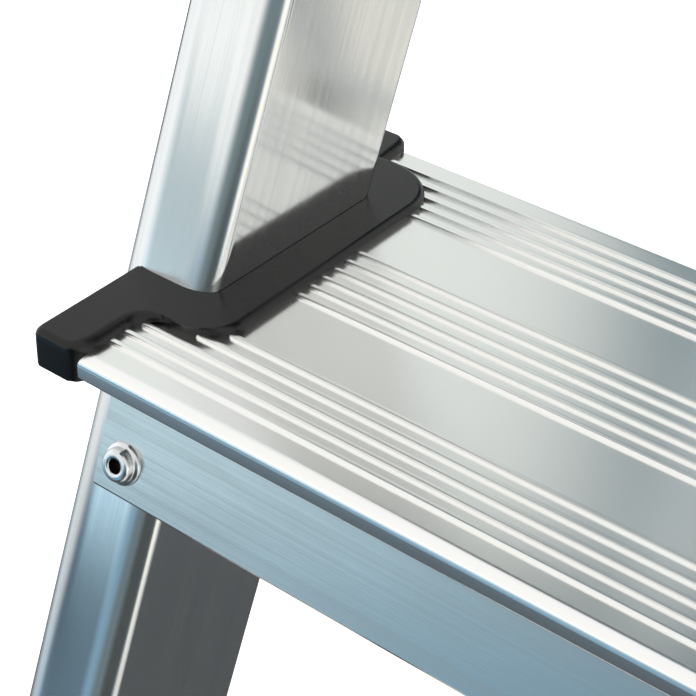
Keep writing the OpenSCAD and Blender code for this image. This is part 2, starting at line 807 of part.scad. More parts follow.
module platform_side() {
    r = 8;
    length = platform_d - 4;
    color("lightgray") difference() {
        translate([-side_x, deck_y + 2, side_bottom]) along_x(0, side_t)
            rounded_rect(length, side_top - side_bottom, r);
        tilt_axis(-side_x - 1) cylinder(r = bolt_d / 2 + run_gap, h = side_t + 2);
        port_holes();
        translate([-side_x - 1, bar_y, bar_z]) rotate([0, 90, 0])
            cylinder(r = saddle_r, h = side_t + 2);
    }
}

module platform_bushes() {
    reach = web_x(tilt_s) - bracket_t / cos(taper) - side_x - bush_gap;
    color("ivory") for (side = [-1, 1]) on_side(side) difference() {
        tilt_axis(-side_x - fit - reach) cylinder(r = bush_flange_r, h = reach);
        tilt_axis(-side_x - reach - 2) cylinder(r = bolt_d / 2 + run_gap, h = reach + 4);
    }
}

module platform_screws() {
    head_h = 2.4;
    color("whitesmoke") for (side = [-1, 1]) on_side(side) for (y = port_places)
        translate([-side_x, deck_y + y, platform_z + port_z]) rotate([0, 90, 0]) difference() {
            round_screw(rivet_d / 2, rivet_d, head_h, side_t + port_screw - 1);
            socket_cut(1.5, head_h);
        }
}

on_side(-1) stile();  // stile_left
on_side(1) stile();  // stile_right
tread(1);  // tread_1
tread(2);  // tread_2
tread(3);  // tread_3
on_side(-1) tread_cap(1);  // tread_cap_left_1
on_side(-1) tread_cap(2);  // tread_cap_left_2
on_side(-1) tread_cap(3);  // tread_cap_left_3
on_side(1) tread_cap(1);  // tread_cap_right_1
on_side(1) tread_cap(2);  // tread_cap_right_2
on_side(1) tread_cap(3);  // tread_cap_right_3
tread_rivets();
on_side(-1) front_foot();  // front_foot_left
on_side(1) front_foot();  // front_foot_right
front_foot_rivets();
on_side(-1) hinge_bracket();  // hinge_bracket_left
on_side(1) hinge_bracket();  // hinge_bracket_right
bracket_rivets();
rear_hinge_bolts();
rear_hinge_nuts();
platform_bolts();
platform_nuts();
tool_tray();
tray_screws();
on_side(-1) rear_stile();  // rear_stile_left
on_side(1) rear_stile();  // rear_stile_right
rear_bar_top();
rear_bar(middle_drop);  // rear_bar_middle
rear_bar(bottom_drop);  // rear_bar_bottom
rear_bar_screws();
on_side(-1) rear_brace();  // rear_brace_left
on_side(1) rear_brace();  // rear_brace_right
brace_rivets();
on_side(-1) rear_foot();  // rear_foot_left
on_side(1) rear_foot();  // rear_foot_right
rear_foot_rivets();
rear_hinge_bushes();
rear_stile_plugs();
platform_deck();
on_side(-1) platform_side();  // platform_side_left
on_side(1) platform_side();  // platform_side_right
platform_bushes();
platform_screws();
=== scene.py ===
import json
import math

import bpy
from mathutils import Matrix, Vector


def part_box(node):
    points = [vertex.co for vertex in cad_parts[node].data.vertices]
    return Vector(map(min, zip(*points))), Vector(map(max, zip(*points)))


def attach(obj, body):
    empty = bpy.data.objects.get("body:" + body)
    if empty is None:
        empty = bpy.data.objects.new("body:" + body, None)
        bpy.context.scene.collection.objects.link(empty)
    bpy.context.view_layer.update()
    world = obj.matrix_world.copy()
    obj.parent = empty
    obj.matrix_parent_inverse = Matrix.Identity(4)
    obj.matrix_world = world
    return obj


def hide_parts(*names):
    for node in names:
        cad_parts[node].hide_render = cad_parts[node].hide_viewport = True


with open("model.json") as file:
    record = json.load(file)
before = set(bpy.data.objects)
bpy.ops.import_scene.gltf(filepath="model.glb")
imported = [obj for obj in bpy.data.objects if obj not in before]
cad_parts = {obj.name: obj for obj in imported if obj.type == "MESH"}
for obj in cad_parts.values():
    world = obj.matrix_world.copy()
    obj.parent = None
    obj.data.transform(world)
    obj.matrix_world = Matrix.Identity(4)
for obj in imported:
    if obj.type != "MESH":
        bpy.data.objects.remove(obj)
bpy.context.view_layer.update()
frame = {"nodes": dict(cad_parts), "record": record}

# ---------- sizes, in mm, as the part's source has them ----------

MM = 0.001
FIT = 0.1                        # slack between pieces that are fixed together
LEAN = math.radians(19)          # front frame, back from upright
TAPER = math.radians(1.7)        # each stile, inward
REAR_LEAN = math.radians(20)     # rear frame, forward from upright
BASE_W, RISE, PLATFORM_Z, RAIL_H = 470, 235, 940, 600
SLOPE_TOP = (PLATFORM_Z + RAIL_H) / math.cos(LEAN)
STILE_W, STILE_D, STILE_WALL, STILE_R, STILE_LIP = 27, 60, 1.6, 4, 13
EASE_FACE, EASE_SIDE = 9, 4.5    # how far a stile's corner eases in across its face and along its side
TREAD_D, TREAD_NOSE, TREAD_INSET, TREAD_WALL = 125, 32.5, 5.8, 1.6
NOSE_H, NOSE_R, NOSE_LIP_R = 7.4, 3, 0.8
RIB_H, RIB_W, RIB_PITCH, FIRST_RIB = 0.9, 1.2, 4.65, 9.9
SKIRT_H, SKIRT_T, SKIRT_LAP, SKIRT_SOFT = 50.8, 1.8, 1.6, 0.7
CAP_T, CAP_WALL, CAP_BACK, CAP_BACK_R, CAP_PROUD = 2, 1.1, 12.3, 15.8, 0.9
RIVET_DOWN, RIVET_IN, RIVET_R, RIVET_CORE = 44.6, 16, 2.4, 1.8
REAR_D, REAR_W, REAR_TOP, REAR_R, BAR_H = 40, 20, 21, 3, 30
TOP_BAR_R, TOP_BAR_DROP = 12.5, 50
FOOT_WALL, FOOT_H, SOLE_T, FOOT_RIVET, REAR_FOOT_RIVET = 3.5, 62, 8, 42, 50
GROOVES, GROOVE_H, GROOVE_DEPTH = (14, 20, 26), 1.6, 0.9
PLATFORM_W, PLATFORM_D, DECK_T, DECK_WALL, DECK_LIP, SIDE_T = 328, 240, 25, 2, 12, 3
TRAY_D, TRAY_H, TRAY_WALL, TRAY_R = 150, 52, 3, 14
SOCKET_WALL, SOCKET_LEN = 4, 60

joints = {j["name"]: Vector(j["pos_m"]) / MM for j in frame["record"]["behaviour"]["joints"]}
hinge = joints["rear_fold"]
nose_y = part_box("tread_2")[0].y / MM - CAP_WALL
FRONT_Y = nose_y + TREAD_NOSE - 2 * RISE * math.tan(LEAN)
REAR_LEN = hinge.z / math.cos(REAR_LEAN)
REAR_FACE = (-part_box("rear_bar_top")[0].x / MM + FIT
             - TOP_BAR_DROP * math.tan(TAPER) + TOP_BAR_R * math.sin(TAPER))
slots = {s["node"]: s["material_slot"] for s in frame["record"]["subparts"]}
bodies = {n: b for b, members in frame["record"]["behaviour"]["bodies"].items() for n in members}


def shift(x, y, z):
    return Matrix.Translation((x * MM, y * MM, z * MM))


def turn(angle, axis):
    return Matrix.Rotation(angle, 4, axis)


# Left stile: x in from its outer face, y back, z up along it
STILE = shift(0, FRONT_Y, 0) @ turn(-LEAN, "X") @ shift(-BASE_W / 2, 0, 0) @ turn(TAPER, "Y")
# Left rear stile: x in from its outer face, y back, z up from the hinge
REAR = shift(0, hinge.y, hinge.z) @ turn(REAR_LEAN, "X")
REAR_STILE = REAR @ shift(-REAR_FACE, 0, 0) @ turn(TAPER, "Y") @ shift(-REAR_W, -REAR_D / 2, 0)
# A profile drawn in depth and height, pulled across the ladder
ACROSS = Matrix(((0, 0, 1, 0), (1, 0, 0, 0), (0, 1, 0, 0), (0, 0, 0, 1)))


def outer_x(s):
    return BASE_W / 2 - s * math.tan(TAPER)


def tread_half(k):
    return outer_x(k * RISE / math.cos(LEAN)) - TREAD_INSET


def tread_y(k):
    return FRONT_Y + k * RISE * math.tan(LEAN) - TREAD_NOSE


def stile_outline(gap=0.0):
    """The stile's outside with eased corners, or the same outline a gap further out."""
    w, d = STILE_W + gap, STILE_D + gap
    a, b = EASE_FACE + gap, EASE_SIDE + gap
    corners = (((a - gap, b - gap), 180), ((w - a, b - gap), 270),
               ((w - a, d - b), 0), ((a - gap, d - b), 90))
    return [p for centre, start in corners for p in oval(centre, a, b, start, start + 90, 12)]


# ---------- modelling ----------

def deselect():
    bpy.ops.object.select_all(action="DESELECT")


def take(*objects):
    """Selects these objects alone, the last one active."""
    deselect()
    for o in objects:
        o.select_set(True)
    bpy.context.view_layer.objects.active = objects[-1]
    return objects[-1]


def edit(obj):
    take(obj)
    bpy.ops.object.mode_set(mode="EDIT")
    bpy.ops.mesh.select_all(action="SELECT")


def done():
    bpy.ops.object.mode_set(mode="OBJECT")
    return bpy.context.object


def oval(centre, rx, ry, a0, a1, steps):
    angles = [math.radians(a0 + (a1 - a0) * i / steps) for i in range(steps + 1)]
    return [(centre[0] + rx * math.cos(t), centre[1] + ry * math.sin(t)) for t in angles]


def arc(cx, cy, r, a0, a1, steps):
    return oval((cx, cy), r, r, a0, a1, steps)


def rounded(w, d, r, steps=8):
    return (arc(r, r, r, 180, 270, steps) + arc(w - r, r, r, 270, 360, steps)
            + arc(w - r, d - r, r, 0, 90, steps) + arc(r, d - r, r, 90, 180, steps))


def grown(w, d, grow, r, steps=8):
    """A rounded outline that stands grow outside a w by d section, with corners of radius r."""
    return [(x - grow, y - grow) for x, y in rounded(w + 2 * grow, d + 2 * grow, r, steps)]


def draw(points, closed=True):
    """Draws the points, in mm, one after another from a single vertex, and fills the outline."""
    deselect()
    bpy.ops.mesh.primitive_plane_add(size=MM)
    bpy.ops.object.mode_set(mode="EDIT")
    bpy.ops.mesh.merge(type="CENTER")
    at = Vector((0, 0, 0))
    for i, p in enumerate(points):
        to = Vector((p[0], p[1], p[2] if len(p) > 2 else 0)) * MM
        if i == 0:
            bpy.ops.transform.translate(value=to)
        else:
            bpy.ops.mesh.extrude_vertices_move(TRANSFORM_OT_translate={"value": to - at})
        at = to
    bpy.ops.mesh.select_all(action="SELECT")
    if closed:
        bpy.ops.mesh.edge_face_add()


def pulled(points, length, start=0):
    """A profile in mm, pulled along Z."""
    draw([(*p, start) for p in points])
    bpy.ops.mesh.extrude_region_move(TRANSFORM_OT_translate={"value": (0, 0, length * MM)})
    bpy.ops.mesh.select_all(action="SELECT")
    bpy.ops.mesh.normals_make_consistent(inside=False)
    return done()


def block(x0, y0, z0, x1, y1, z1):
    """A block between two corners in mm, for cutting or joining."""
    deselect()
    middle = (Vector((x0, y0, z0)) + Vector((x1, y1, z1))) / 2
    bpy.ops.mesh.primitive_cube_add(size=1, location=middle * MM,
                                    scale=((x1 - x0) * MM, (y1 - y0) * MM, (z1 - z0) * MM))
    bpy.ops.object.transform_apply(location=True, rotation=True, scale=True)
    return bpy.context.object


def spun(profile, steps=32):
    """A round piece: its half profile in mm, spun about Z."""
    draw([(r, 0, z) for r, z in profile], closed=False)
    bpy.ops.mesh.spin(steps=steps, angle=math.tau, center=(0, 0, 0), axis=(0, 0, 1))
    bpy.ops.mesh.select_all(action="SELECT")
    bpy.ops.mesh.remove_doubles(threshold=0.002 * MM)
    bpy.ops.mesh.normals_make_consistent(inside=False)
    return done()


def cut(obj, tool, operation="DIFFERENCE"):
    """Cuts the tool out of the piece, or joins it on, and drops the tool."""
    take(obj)
    m = obj.modifiers.new("cut", "BOOLEAN")
    m.object, m.operation, m.solver = tool, operation, "EXACT"
    bpy.ops.object.modifier_apply(modifier=m.name)
    bpy.data.objects.remove(tool)
    return obj


def placed(obj, matrix):
    """Keeps the drawn place of every point for the grain, then puts the piece where it belongs."""
    if "drawn" not in obj.data.attributes:
        kept = obj.data.attributes.new("drawn", "FLOAT_VECTOR", "POINT")
        for v in obj.data.vertices:
            kept.data[v.index].vector = v.co
    take(obj)
    obj.matrix_world = matrix @ obj.matrix_world
    bpy.ops.object.transform_apply(location=True, rotation=True, scale=True)
    return obj


def copied(obj):
    twin = obj.copy()
    twin.data = obj.data.copy()
    bpy.context.collection.objects.link(twin)
    return twin


def mirrored(obj):
    """The right-hand twin of a left-hand piece, its faces turned outward again."""
    twin = copied(obj)
    take(twin)
    twin.scale.x = -1
    bpy.ops.object.transform_apply(location=True, rotation=True, scale=True)
    edit(twin)
    bpy.ops.mesh.normals_make_consistent(inside=False)
    return done()


def joined(*objects):
    take(*objects)
    if len(objects) > 1:
        bpy.ops.object.join()
    return bpy.context.object


def beveled(obj, width, segments=2, angle=30):
    take(obj)
    m = obj.modifiers.new("soft edges", "BEVEL")
    m.width, m.segments, m.angle_limit = width * MM, segments, math.radians(angle)
    m.limit_method = "ANGLE"
    bpy.ops.object.modifier_apply(modifier=m.name)
    return obj


def finished(obj, name, material, nodes, smooth=30):
    """Names the piece, shades it, and lets it stand for its CAD nodes on their body."""
    take(obj)
    obj.name = obj.data.name = name
    if material.name not in obj.data.materials:
        obj.data.materials.clear()
        obj.data.materials.append(material)
    bpy.ops.object.shade_smooth_by_angle(angle=math.radians(smooth))
    m = obj.modifiers.new("flat faces stay flat", "WEIGHTED_NORMAL")
    m.keep_sharp = True
    bpy.ops.object.modifier_apply(modifier=m.name)
    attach(obj, bodies[nodes[0]])
    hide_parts(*nodes)
    return obj


def both_sides(obj, name, material, node, smooth=30):
    """The left piece and its mirrored twin, as the nodes NAME_left and NAME_right."""
    twin = mirrored(obj)
    finished(obj, name + "_left_made", material, [node.replace("SIDE", "left")], smooth)
    finished(twin, name + "_right_made", material, [node.replace("SIDE", "right")], smooth)


def from_cad(node, material, soft=0.0, smooth=30):
    """A merged copy of a CAD node with softened edges."""
    obj = copied(frame["nodes"][node])
    obj.parent = None
    edit(obj)
    bpy.ops.mesh.remove_doubles(threshold=0.001 * MM)
    bpy.ops.mesh.dissolve_limited(angle_limit=math.radians(0.5))
    done()
    if soft:
        beveled(obj, soft)
    return finished(obj, node + "_made", material, [node], smooth)


# ---------- materials ----------

def colour(hexa):
    """sRGB hex to linear, with alpha."""
    parts = [int(hexa[i:i + 2], 16) / 255 for i in (1, 3, 5)]
    return [c / 12.92 if c <= 0.04045 else ((c + 0.055) / 1.055) ** 2.4 for c in parts] + [1.0]


def add_node(tree, kind, inputs=None, **settings):
    """One node with its settings; an input is a value or the socket that feeds it."""
    n = tree.nodes.new("ShaderNode" + kind)
    for key, value in settings.items():
        setattr(n, key, value)
    for key, value in (inputs or {}).items():
        if isinstance(value, bpy.types.NodeSocket):
            tree.links.new(value, n.inputs[key])
        else:
            n.inputs[key].default_value = value
    return n


def new_material(name, **sockets):
    m = bpy.data.materials.new(name)
    m.use_nodes = True
    shader = m.node_tree.nodes["Principled BSDF"]
    for key, value in sockets.items():
        shader.inputs[key.replace("_", " ")].default_value = value
    return m, m.node_tree, shader


def drawn_metal(name, light, dark, rough, streak, dents, metallic):
    """Extruded aluminium: the die leaves fine lines along the length, and handling leaves faint
    cloudy patches. The grain follows the piece's own drawn length."""
    m, tree, shader = new_material(name, Metallic=metallic)
    place = add_node(tree, "Attribute", attribute_name="drawn")
    # die lines about 0.4 mm apart and 250 mm long
    fine = add_node(tree, "Mapping", {"Vector": place.outputs["Vector"], "Scale": (2400, 2400, 4)})
    lines = add_node(tree, "TexNoise", {"Vector": fine.outputs[0], "Scale": 1.0, "Detail": 3.0,
                                        "Roughness": 0.65})
    # broader bands of a few millimetres
    wide = add_node(tree, "Mapping", {"Vector": place.outputs["Vector"], "Scale": (330, 330, 1.6)})
    bands = add_node(tree, "TexNoise", {"Vector": wide.outputs[0], "Scale": 1.0, "Detail": 2.0})
    # cloudy handling marks about 17 mm wide and 45 mm long
    cloud = add_node(tree, "Mapping", {"Vector": place.outputs["Vector"], "Scale": (60, 60, 22)})
    marks = add_node(tree, "TexNoise", {"Vector": cloud.outputs[0], "Scale": 1.0, "Detail": 5.0,
                                        "Roughness": 0.6})
    streaks = add_node(tree, "Math", {0: lines.outputs[0], 1: bands.outputs[0]}, operation="ADD")
    both = add_node(tree, "Math", {0: streaks.outputs[0], 1: marks.outputs[0]}, operation="ADD")
    shade = add_node(tree, "MapRange", {"Value": both.outputs[0], "From Min": 1.0, "From Max": 2.0})
    tone = add_node(tree, "Mix", {"Factor": shade.outputs[0], "A": colour(dark), "B": colour(light)},
                    data_type="RGBA")
    tree.links.new(tone.outputs["Result"], shader.inputs["Base Color"])
    matt = add_node(tree, "MapRange", {"Value": both.outputs[0], "From Min": 1.0, "From Max": 2.0,
                                       "To Min": rough * 1.35, "To Max": rough * 0.7})
    tree.links.new(matt.outputs[0], shader.inputs["Roughness"])
    relief = add_node(tree, "Bump", {"Height": lines.outputs[0], "Strength": streak, "Distance": 0.00002})
    hollow = add_node(tree, "Bump", {"Height": marks.outputs[0], "Strength": dents, "Distance": 0.0003,
                                     "Normal": relief.outputs[0]})
    tree.links.new(hollow.outputs[0], shader.inputs["Normal"])
    return m, tree, shader, place, tone


def moulded_plastic(name, light, dark, rough, grain):
    """Injection-moulded plastic: an eroded tool gives a fine even grain and a soft sheen."""
    m, tree, shader = new_material(name, Metallic=0.0, IOR=1.45)
    place = add_node(tree, "TexCoord")
    # grain drawn at 0.35 mm, the finest that shows
    fine = add_node(tree, "TexNoise", {"Vector": place.outputs["Object"], "Scale": 2600.0, "Detail": 2.0})
    # faint flow and handling marks about 12 mm across
    marks = add_node(tree, "TexNoise", {"Vector": place.outputs["Object"], "Scale": 85.0, "Detail": 4.0})
    tone = add_node(tree, "Mix", {"Factor": marks.outputs[0], "A": colour(dark), "B": colour(light)},
                    data_type="RGBA")
    tree.links.new(tone.outputs["Result"], shader.inputs["Base Color"])
    matt = add_node(tree, "MapRange", {"Value": marks.outputs[0], "To Min": rough * 0.85,
                                       "To Max": rough * 1.15})
    tree.links.new(matt.outputs[0], shader.inputs["Roughness"])
    relief = add_node(tree, "Bump", {"Height": fine.outputs[0], "Strength": grain, "Distance": 0.00006})
    tree.links.new(relief.outputs[0], shader.inputs["Normal"])
    return m


def small_metal(name, light, dark, rough, grain, size):
    """Pressed, rolled or plated metal: an even fine tooth with slight tone changes."""
    m, tree, shader = new_material(name, Metallic=1.0)
    place = add_node(tree, "TexCoord")
    # the tooth's size comes in mm
    fine = add_node(tree, "TexNoise", {"Vector": place.outputs["Object"], "Scale": 1 / (size * MM),
                                       "Detail": 3.0})
    # handling marks about 6 mm across
    marks = add_node(tree, "TexNoise", {"Vector": place.outputs["Object"], "Scale": 160.0, "Detail": 3.0})
    tone = add_node(tree, "Mix", {"Factor": marks.outputs[0], "A": colour(dark), "B": colour(light)},
                    data_type="RGBA")
    tree.links.new(tone.outputs["Result"], shader.inputs["Base Color"])
    matt = add_node(tree, "MapRange", {"Value": marks.outputs[0], "To Min": rough * 0.8,
                                       "To Max": rough * 1.3})
    tree.links.new(matt.outputs[0], shader.inputs["Roughness"])
    relief = add_node(tree, "Bump", {"Height": fine.outputs[0], "Strength": grain, "Distance": 0.00004})
    tree.links.new(relief.outputs[0], shader.inputs["Normal"])
    return m


# Mill-finish aluminium stile: drawn through a polished die, so nearly a mirror
stile_metal = drawn_metal("mill_finish_aluminium_stile", "#e6e7e6", "#d3d6d7", 0.12, 0.2, 0.05, 0.97)[0]
# Mill-finish aluminium tread: duller and warmer, its rib tops painted near white as a painted highlight
tread_metal, tree, shader, place, tone = drawn_metal(
    "mill_finish_aluminium_tread", "#dedddb", "#cbccc9", 0.22, 0.35, 0.06, 1.0)
# painted highlight: the base colour is mixed toward near white over the rib tops, the top 0.6 mm of the drawn
# height
parts = add_node(tree, "SeparateXYZ", {"Vector": place.outputs["Vector"]})
rib_top_painted_highlight = add_node(tree, "MapRange", {"Value": parts.outputs["Y"], "From Min": -0.6 * MM,
                                    "From Max": -0.2 * MM})
bright = add_node(tree, "Mix", {"Factor": rib_top_painted_highlight.outputs[0], "A": tone.outputs["Result"],
                                "B": colour("#fcfcfb")}, data_type="RGBA")
tree.links.new(bright.outputs["Result"], shader.inputs["Base Color"])
# Tumbled aluminium plate: stamped and rolled about with stones, so even and satin
plate_metal = small_metal("tumbled_aluminium_plate", "#d3d6d8", "#bcc0c4", 0.34, 0.3, 0.5)
# Bright aluminium rivet: cold-headed from wire, smooth
rivet_metal = small_metal("bright_aluminium_rivet", "#eceeef", "#d6dadd", 0.16, 0.12, 0.6)
# Broken steel mandrel in a rivet: left bare, dull and brown. The same dark steel also covers the hollow's
# walls over it, as painted shade in the recess
mandrel_and_hollow_shade_metal = small_metal("bare_steel_mandrel_and_painted_hollow_shade", "#3a3530", "#1e1b19", 0.5, 0.4, 0.5)
# Bright zinc on steel: plated and clear passivated, a trace of blue
zinc_metal = small_metal("bright_zinc_plated_steel", "#d4d8dc", "#bcc3ca", 0.22, 0.15, 0.5)
# Black polypropylene cap: moulded in an eroded tool, semi-matt
cap_plastic = moulded_plastic("black_polypropylene_cap", "#040405", "#020202", 0.27, 0.3)
# Black thermoplastic rubber foot: moulded, matt
foot_plastic = moulded_plastic("black_thermoplastic_foot", "#222223", "#171718", 0.62, 0.5)
# Black polypropylene tray: moulded, eroded texture
tray_plastic = moulded_plastic("black_polypropylene_tray", "#1f1f21", "#151516", 0.5, 0.5)
# Natural nylon: moulded, waxy and slightly yellow
nylon = moulded_plastic("natural_nylon_bush", "#e6e1d3", "#d8d2c2", 0.4, 0.25)

slot_material = {
    "stile_aluminium": stile_metal, "ribbed_aluminium": tread_metal, "bracket_aluminium": plate_metal,
    "rivet_aluminium": rivet_metal, "zinc_steel": zinc_metal, "cap_plastic": cap_plastic,
    "foot_plastic": foot_plastic, "tray_plastic": tray_plastic, "nylon": nylon,
}

# ---------- stiles ----------

def channel():
    """The stile's lipped channel, open towards x = 0."""
    d, t, lip, soft = STILE_D, STILE_WALL, STILE_LIP, 0.4
    far = d - lip
    return ([(0, lip - soft)] + stile_outline()
            + [(0, far + soft), (soft, far), (t - soft, far), (t, far + soft)]
            + stile_outline(-t)[::-1] + [(t, lip - soft), (t - soft, lip), (soft, lip)])


def cut_flat(obj, z, keep_above=True):
    """Cuts a placed piece level at height z, in mm."""
    edit(obj)
    bpy.ops.mesh.bisect(plane_co=(0, 0, z * MM), plane_no=(0, 0, 1), use_fill=True,
                        clear_inner=keep_above, clear_outer=not keep_above)
    return done()


TRAY_COVER = 6                   # the tray's floor over the stile's end
stile = placed(pulled(channel(), SLOPE_TOP - TRAY_COVER + STILE_D, start=-STILE_D), STILE)
cut_flat(stile, SOLE_T)
both_sides(stile, "stile", stile_metal, "stile_SIDE")

# ---------- treads ----------

def rib(y):
    """One grip rib with rounded shoulders, in depth and height, its top at 0."""
    foot, side, top = RIB_W / 2 + 0.16, RIB_W / 2 + 0.08, RIB_W / 2 - 0.2
    half_section = [(foot, -RIB_H), (side, 0.12 - RIB_H), (side, -0.3), (side - 0.1, -0.08), (top, 0)]
    return [(y - x, z) for x, z in half_section] + [(y + x, z) for x, z in reversed(half_section)]


def rib_places():
    nose = [FIRST_RIB + i * RIB_PITCH for i in range(5)]
    middle = [TREAD_D / 2 + (i - 2.5) * RIB_PITCH for i in range(6)]
    return nose + middle + [TREAD_D - y for y in reversed(nose)]


def edge_round(y0, y1):
    """The rounded front and back edges of a ribbed profile between the depths y0 and y1."""
    z = -RIB_H - NOSE_R
    return arc(y0 + NOSE_R, z, NOSE_R, 180, 90, 12), arc(y1 - NOSE_R, z, NOSE_R, 90, 0, 12)


def tread_plate():
    y0, y1, r = CAP_WALL, TREAD_D - CAP_WALL, NOSE_LIP_R
    front = TREAD_NOSE - NOSE_H * math.tan(LEAN)
    back = front + STILE_D / math.cos(LEAN)
    under = -RIB_H - TREAD_WALL
    front_edge, back_edge = edge_round(y0, y1)
    return (arc(y0 + r, r - NOSE_H, r, 270, 180, 3) + front_edge + [p for y in rib_places() for p in rib(y)]
            + back_edge + arc(y1 - r, r - NOSE_H, r, 0, -90, 3)
            + [(back, -NOSE_H), (back, under), (front, under), (front, -NOSE_H)])


def skirt(at, way):
    """A skirt that leans with the stiles, its lower edge rounded; way is 1 in front and -1 behind."""
    t, slope = SKIRT_T / math.cos(LEAN), math.tan(LEAN)
    a = at - way * FIT
    b = a - way * t
    z0, z1, soft = SKIRT_LAP - NOSE_H, -SKIRT_H, SKIRT_SOFT
    return [(b + z0 * slope, z0), (a + z0 * slope, z0), (a + (z1 + soft) * slope, z1 + soft),
            (a + z1 * slope - way * soft * 0.6, z1), (b + z1 * slope + way * soft * 0.6, z1),
            (b + (z1 + soft) * slope, z1 + soft)]


def stile_room(gap, back=0.0, end=0.0):
    """The leaning room for the left stile, open outward."""
    far_side, far_face = STILE_W + gap - end, STILE_D + gap + back
    return placed(block(-STILE_W, -gap, 0, far_side, far_face, SLOPE_TOP), STILE)


for k in (1, 2, 3):
    half = tread_half(k) - CAP_WALL
    where = shift(0, tread_y(k), k * RISE) @ ACROSS
    plate = placed(pulled(tread_plate(), 2 * half, start=-half), where)
    room = stile_room(0.5)
    cut(plate, mirrored(room))
    cut(plate, room)
    skirts = [placed(pulled(skirt(at, way), 2 * half, start=-half), where)
              for at, way in ((TREAD_NOSE, 1), (TREAD_NOSE + STILE_D / math.cos(LEAN), -1))]
    finished(joined(*skirts, plate), f"tread_{k}_made", tread_metal, [f"tread_{k}"])

# ---------- tread caps ----------

def between(low, high, share):
    return tuple(a + (b - a) * share for a, b in zip(low, high))


CAP_FOOT = arc(0.6, 1.2, 1.5, 180, 270, 4) + [(8.8, -0.3), (10.9, 0.8), (12.8, 3.5)]


def cap_outline(rise):
    """Left cap: x in from its outer end, y back from the tread's front edge. It narrows from its foot,
    rise 0, to its flat top, rise 1, more over the tread than at the outer end."""
    foot = CAP_FOOT + [(13.3, 7.5)]
    lip = arc(1.6, 2.8, 1.5, 180, 270, 4) + [(8.4, 1.3), (9.7, 2.2), (10.2, 4.6), (10.4, 8)]
    corner = [between(a, b, rise) for a, b in zip(foot, lip)]
    edge = corner[-1][0]
    flare_r, flare_y, tail_y = 6.5, 21.5 + 0.3 * rise, TREAD_D - CAP_BACK - CAP_BACK_R
    back = TREAD_D - CAP_BACK - 1.8 * rise
    flare = arc(edge + flare_r, flare_y - flare_r, flare_r, 180, 90, 8)
    nose = oval(between((22.2, 32.2), (21.9, 31.2), rise), 11.2 - 1.7 * rise, 9.8 - 0.3 * rise, -90, 0, 12)
    tail = oval((17.4, tail_y), CAP_BACK_R - 1.8 * rise, back - tail_y, 0, 90, 14)
    hind = [(x, TREAD_D - y) for x, y in reversed(corner)]
    return corner + flare + nose + tail + [(edge, back)] + hind


def corner_block(front):
    """The solid corner that wraps the tread's nose."""
    depth = 9
    points = [(CAP_FOOT[0][0], depth)] + CAP_FOOT + [(CAP_FOOT[-1][0], depth)]
    return points if front else [(x, TREAD_D - y) for x, y in reversed(points)]


def cap_top():
    """The cap's plate: outlines from its foot to its flat top, bridged, so its upper edge rolls over."""
    loops = []
    for rise, z in ((0, -RIB_H), (0, 0.2), (0.1, 0.85), (0.3, 1.4), (0.6, 1.8), (1, CAP_T)):
        points = cap_outline(rise)
        draw([(*p, z) for p in points + points[:1]], closed=False)
        bpy.ops.mesh.remove_doubles(threshold=0.002 * MM)
        loops.append(done())
    joined(*loops)
    edit(bpy.context.object)
    bpy.ops.mesh.bridge_edge_loops()
    bpy.ops.mesh.select_all(action="SELECT")
    bpy.ops.mesh.fill_holes(sides=0)
    bpy.ops.mesh.select_all(action="SELECT")
    bpy.ops.mesh.normals_make_consistent(inside=False)
    return done()


cap_depth = NOSE_H + CAP_WALL
wall_end = TREAD_NOSE - 6        # the cap's outer wall stops short of the stile
for k in (1, 2, 3):
    top = cap_top()
    solids = [pulled(corner_block(True), cap_depth + 0.1, start=-cap_depth),
              pulled(corner_block(False), cap_depth + 0.1, start=-cap_depth),
              block(-CAP_PROUD, 8, -cap_depth, CAP_WALL - FIT, wall_end, 0.1),
              block(-CAP_PROUD, TREAD_D - wall_end, -cap_depth, CAP_WALL - FIT, TREAD_D - 8, 0.1)]
    for s in solids[:2]:
        beveled(s, 0.9, 3, 50)
    for s in solids:
        cut(top, s, "UNION")
    cap = placed(top, shift(-tread_half(k), tread_y(k), k * RISE))
    # the notch runs out past the cap's outer end
    notch = [(x - 30 if x < EASE_FACE else x, y) for x, y in stile_outline(0.15)]
    cut(cap, placed(pulled(notch, SLOPE_TOP), STILE))
    cut(cap, stile_room(-1, back=3, end=4))
    twin = mirrored(cap)
    finished(cap, f"tread_cap_left_{k}_made", cap_plastic, [f"tread_cap_left_{k}"], 35)
    finished(twin, f"tread_cap_right_{k}_made", cap_plastic, [f"tread_cap_right_{k}"], 35)

# ---------- blind rivets ----------

def blind_rivet(grip):
    """A blind rivet along +Z: flange, raised dome with the broken mandrel's hollow, and its blind end."""
    r, core = RIVET_R, RIVET_CORE
    hollow = [(0, 0.4), (1.1, 0.4), (core, 0.2), (core, -2.9), (core + 0.3, -3.3), (core + 0.8, -3.5)]
    dome = [(3.4, -3.4), (3.95, -3.0), (4.3, -2.3), (4.35, -1.3)]
    flange = [(4.6, -0.95), (5.1, -0.8), (5.4, -0.5), (5.5, 0), (r, 0)]
    blind_end = [(r, grip), (r + 0.8, grip + 0.8), (r + 0.9, grip + 1.6), (r + 0.7, grip + 2.6),
                 (r, grip + 3.5), (0, grip + 3.6)]
    rivet = spun(hollow + dome + flange + blind_end)
    rivet.data.materials.append(rivet_metal)
    rivet.data.materials.append(mandrel_and_hollow_shade_metal)
    # the mandrel's end and the hollow's walls above it take the dark steel; on the walls, which are the
    # rivet's aluminium, this is painted shade
    for face in rivet.data.polygons:
        inside = math.hypot(face.center.x, face.center.y) < core * MM * 1.01
        face.material_index = 1 if inside and -2.6 * MM < face.center.z < 1 * MM else 0
    return rivet


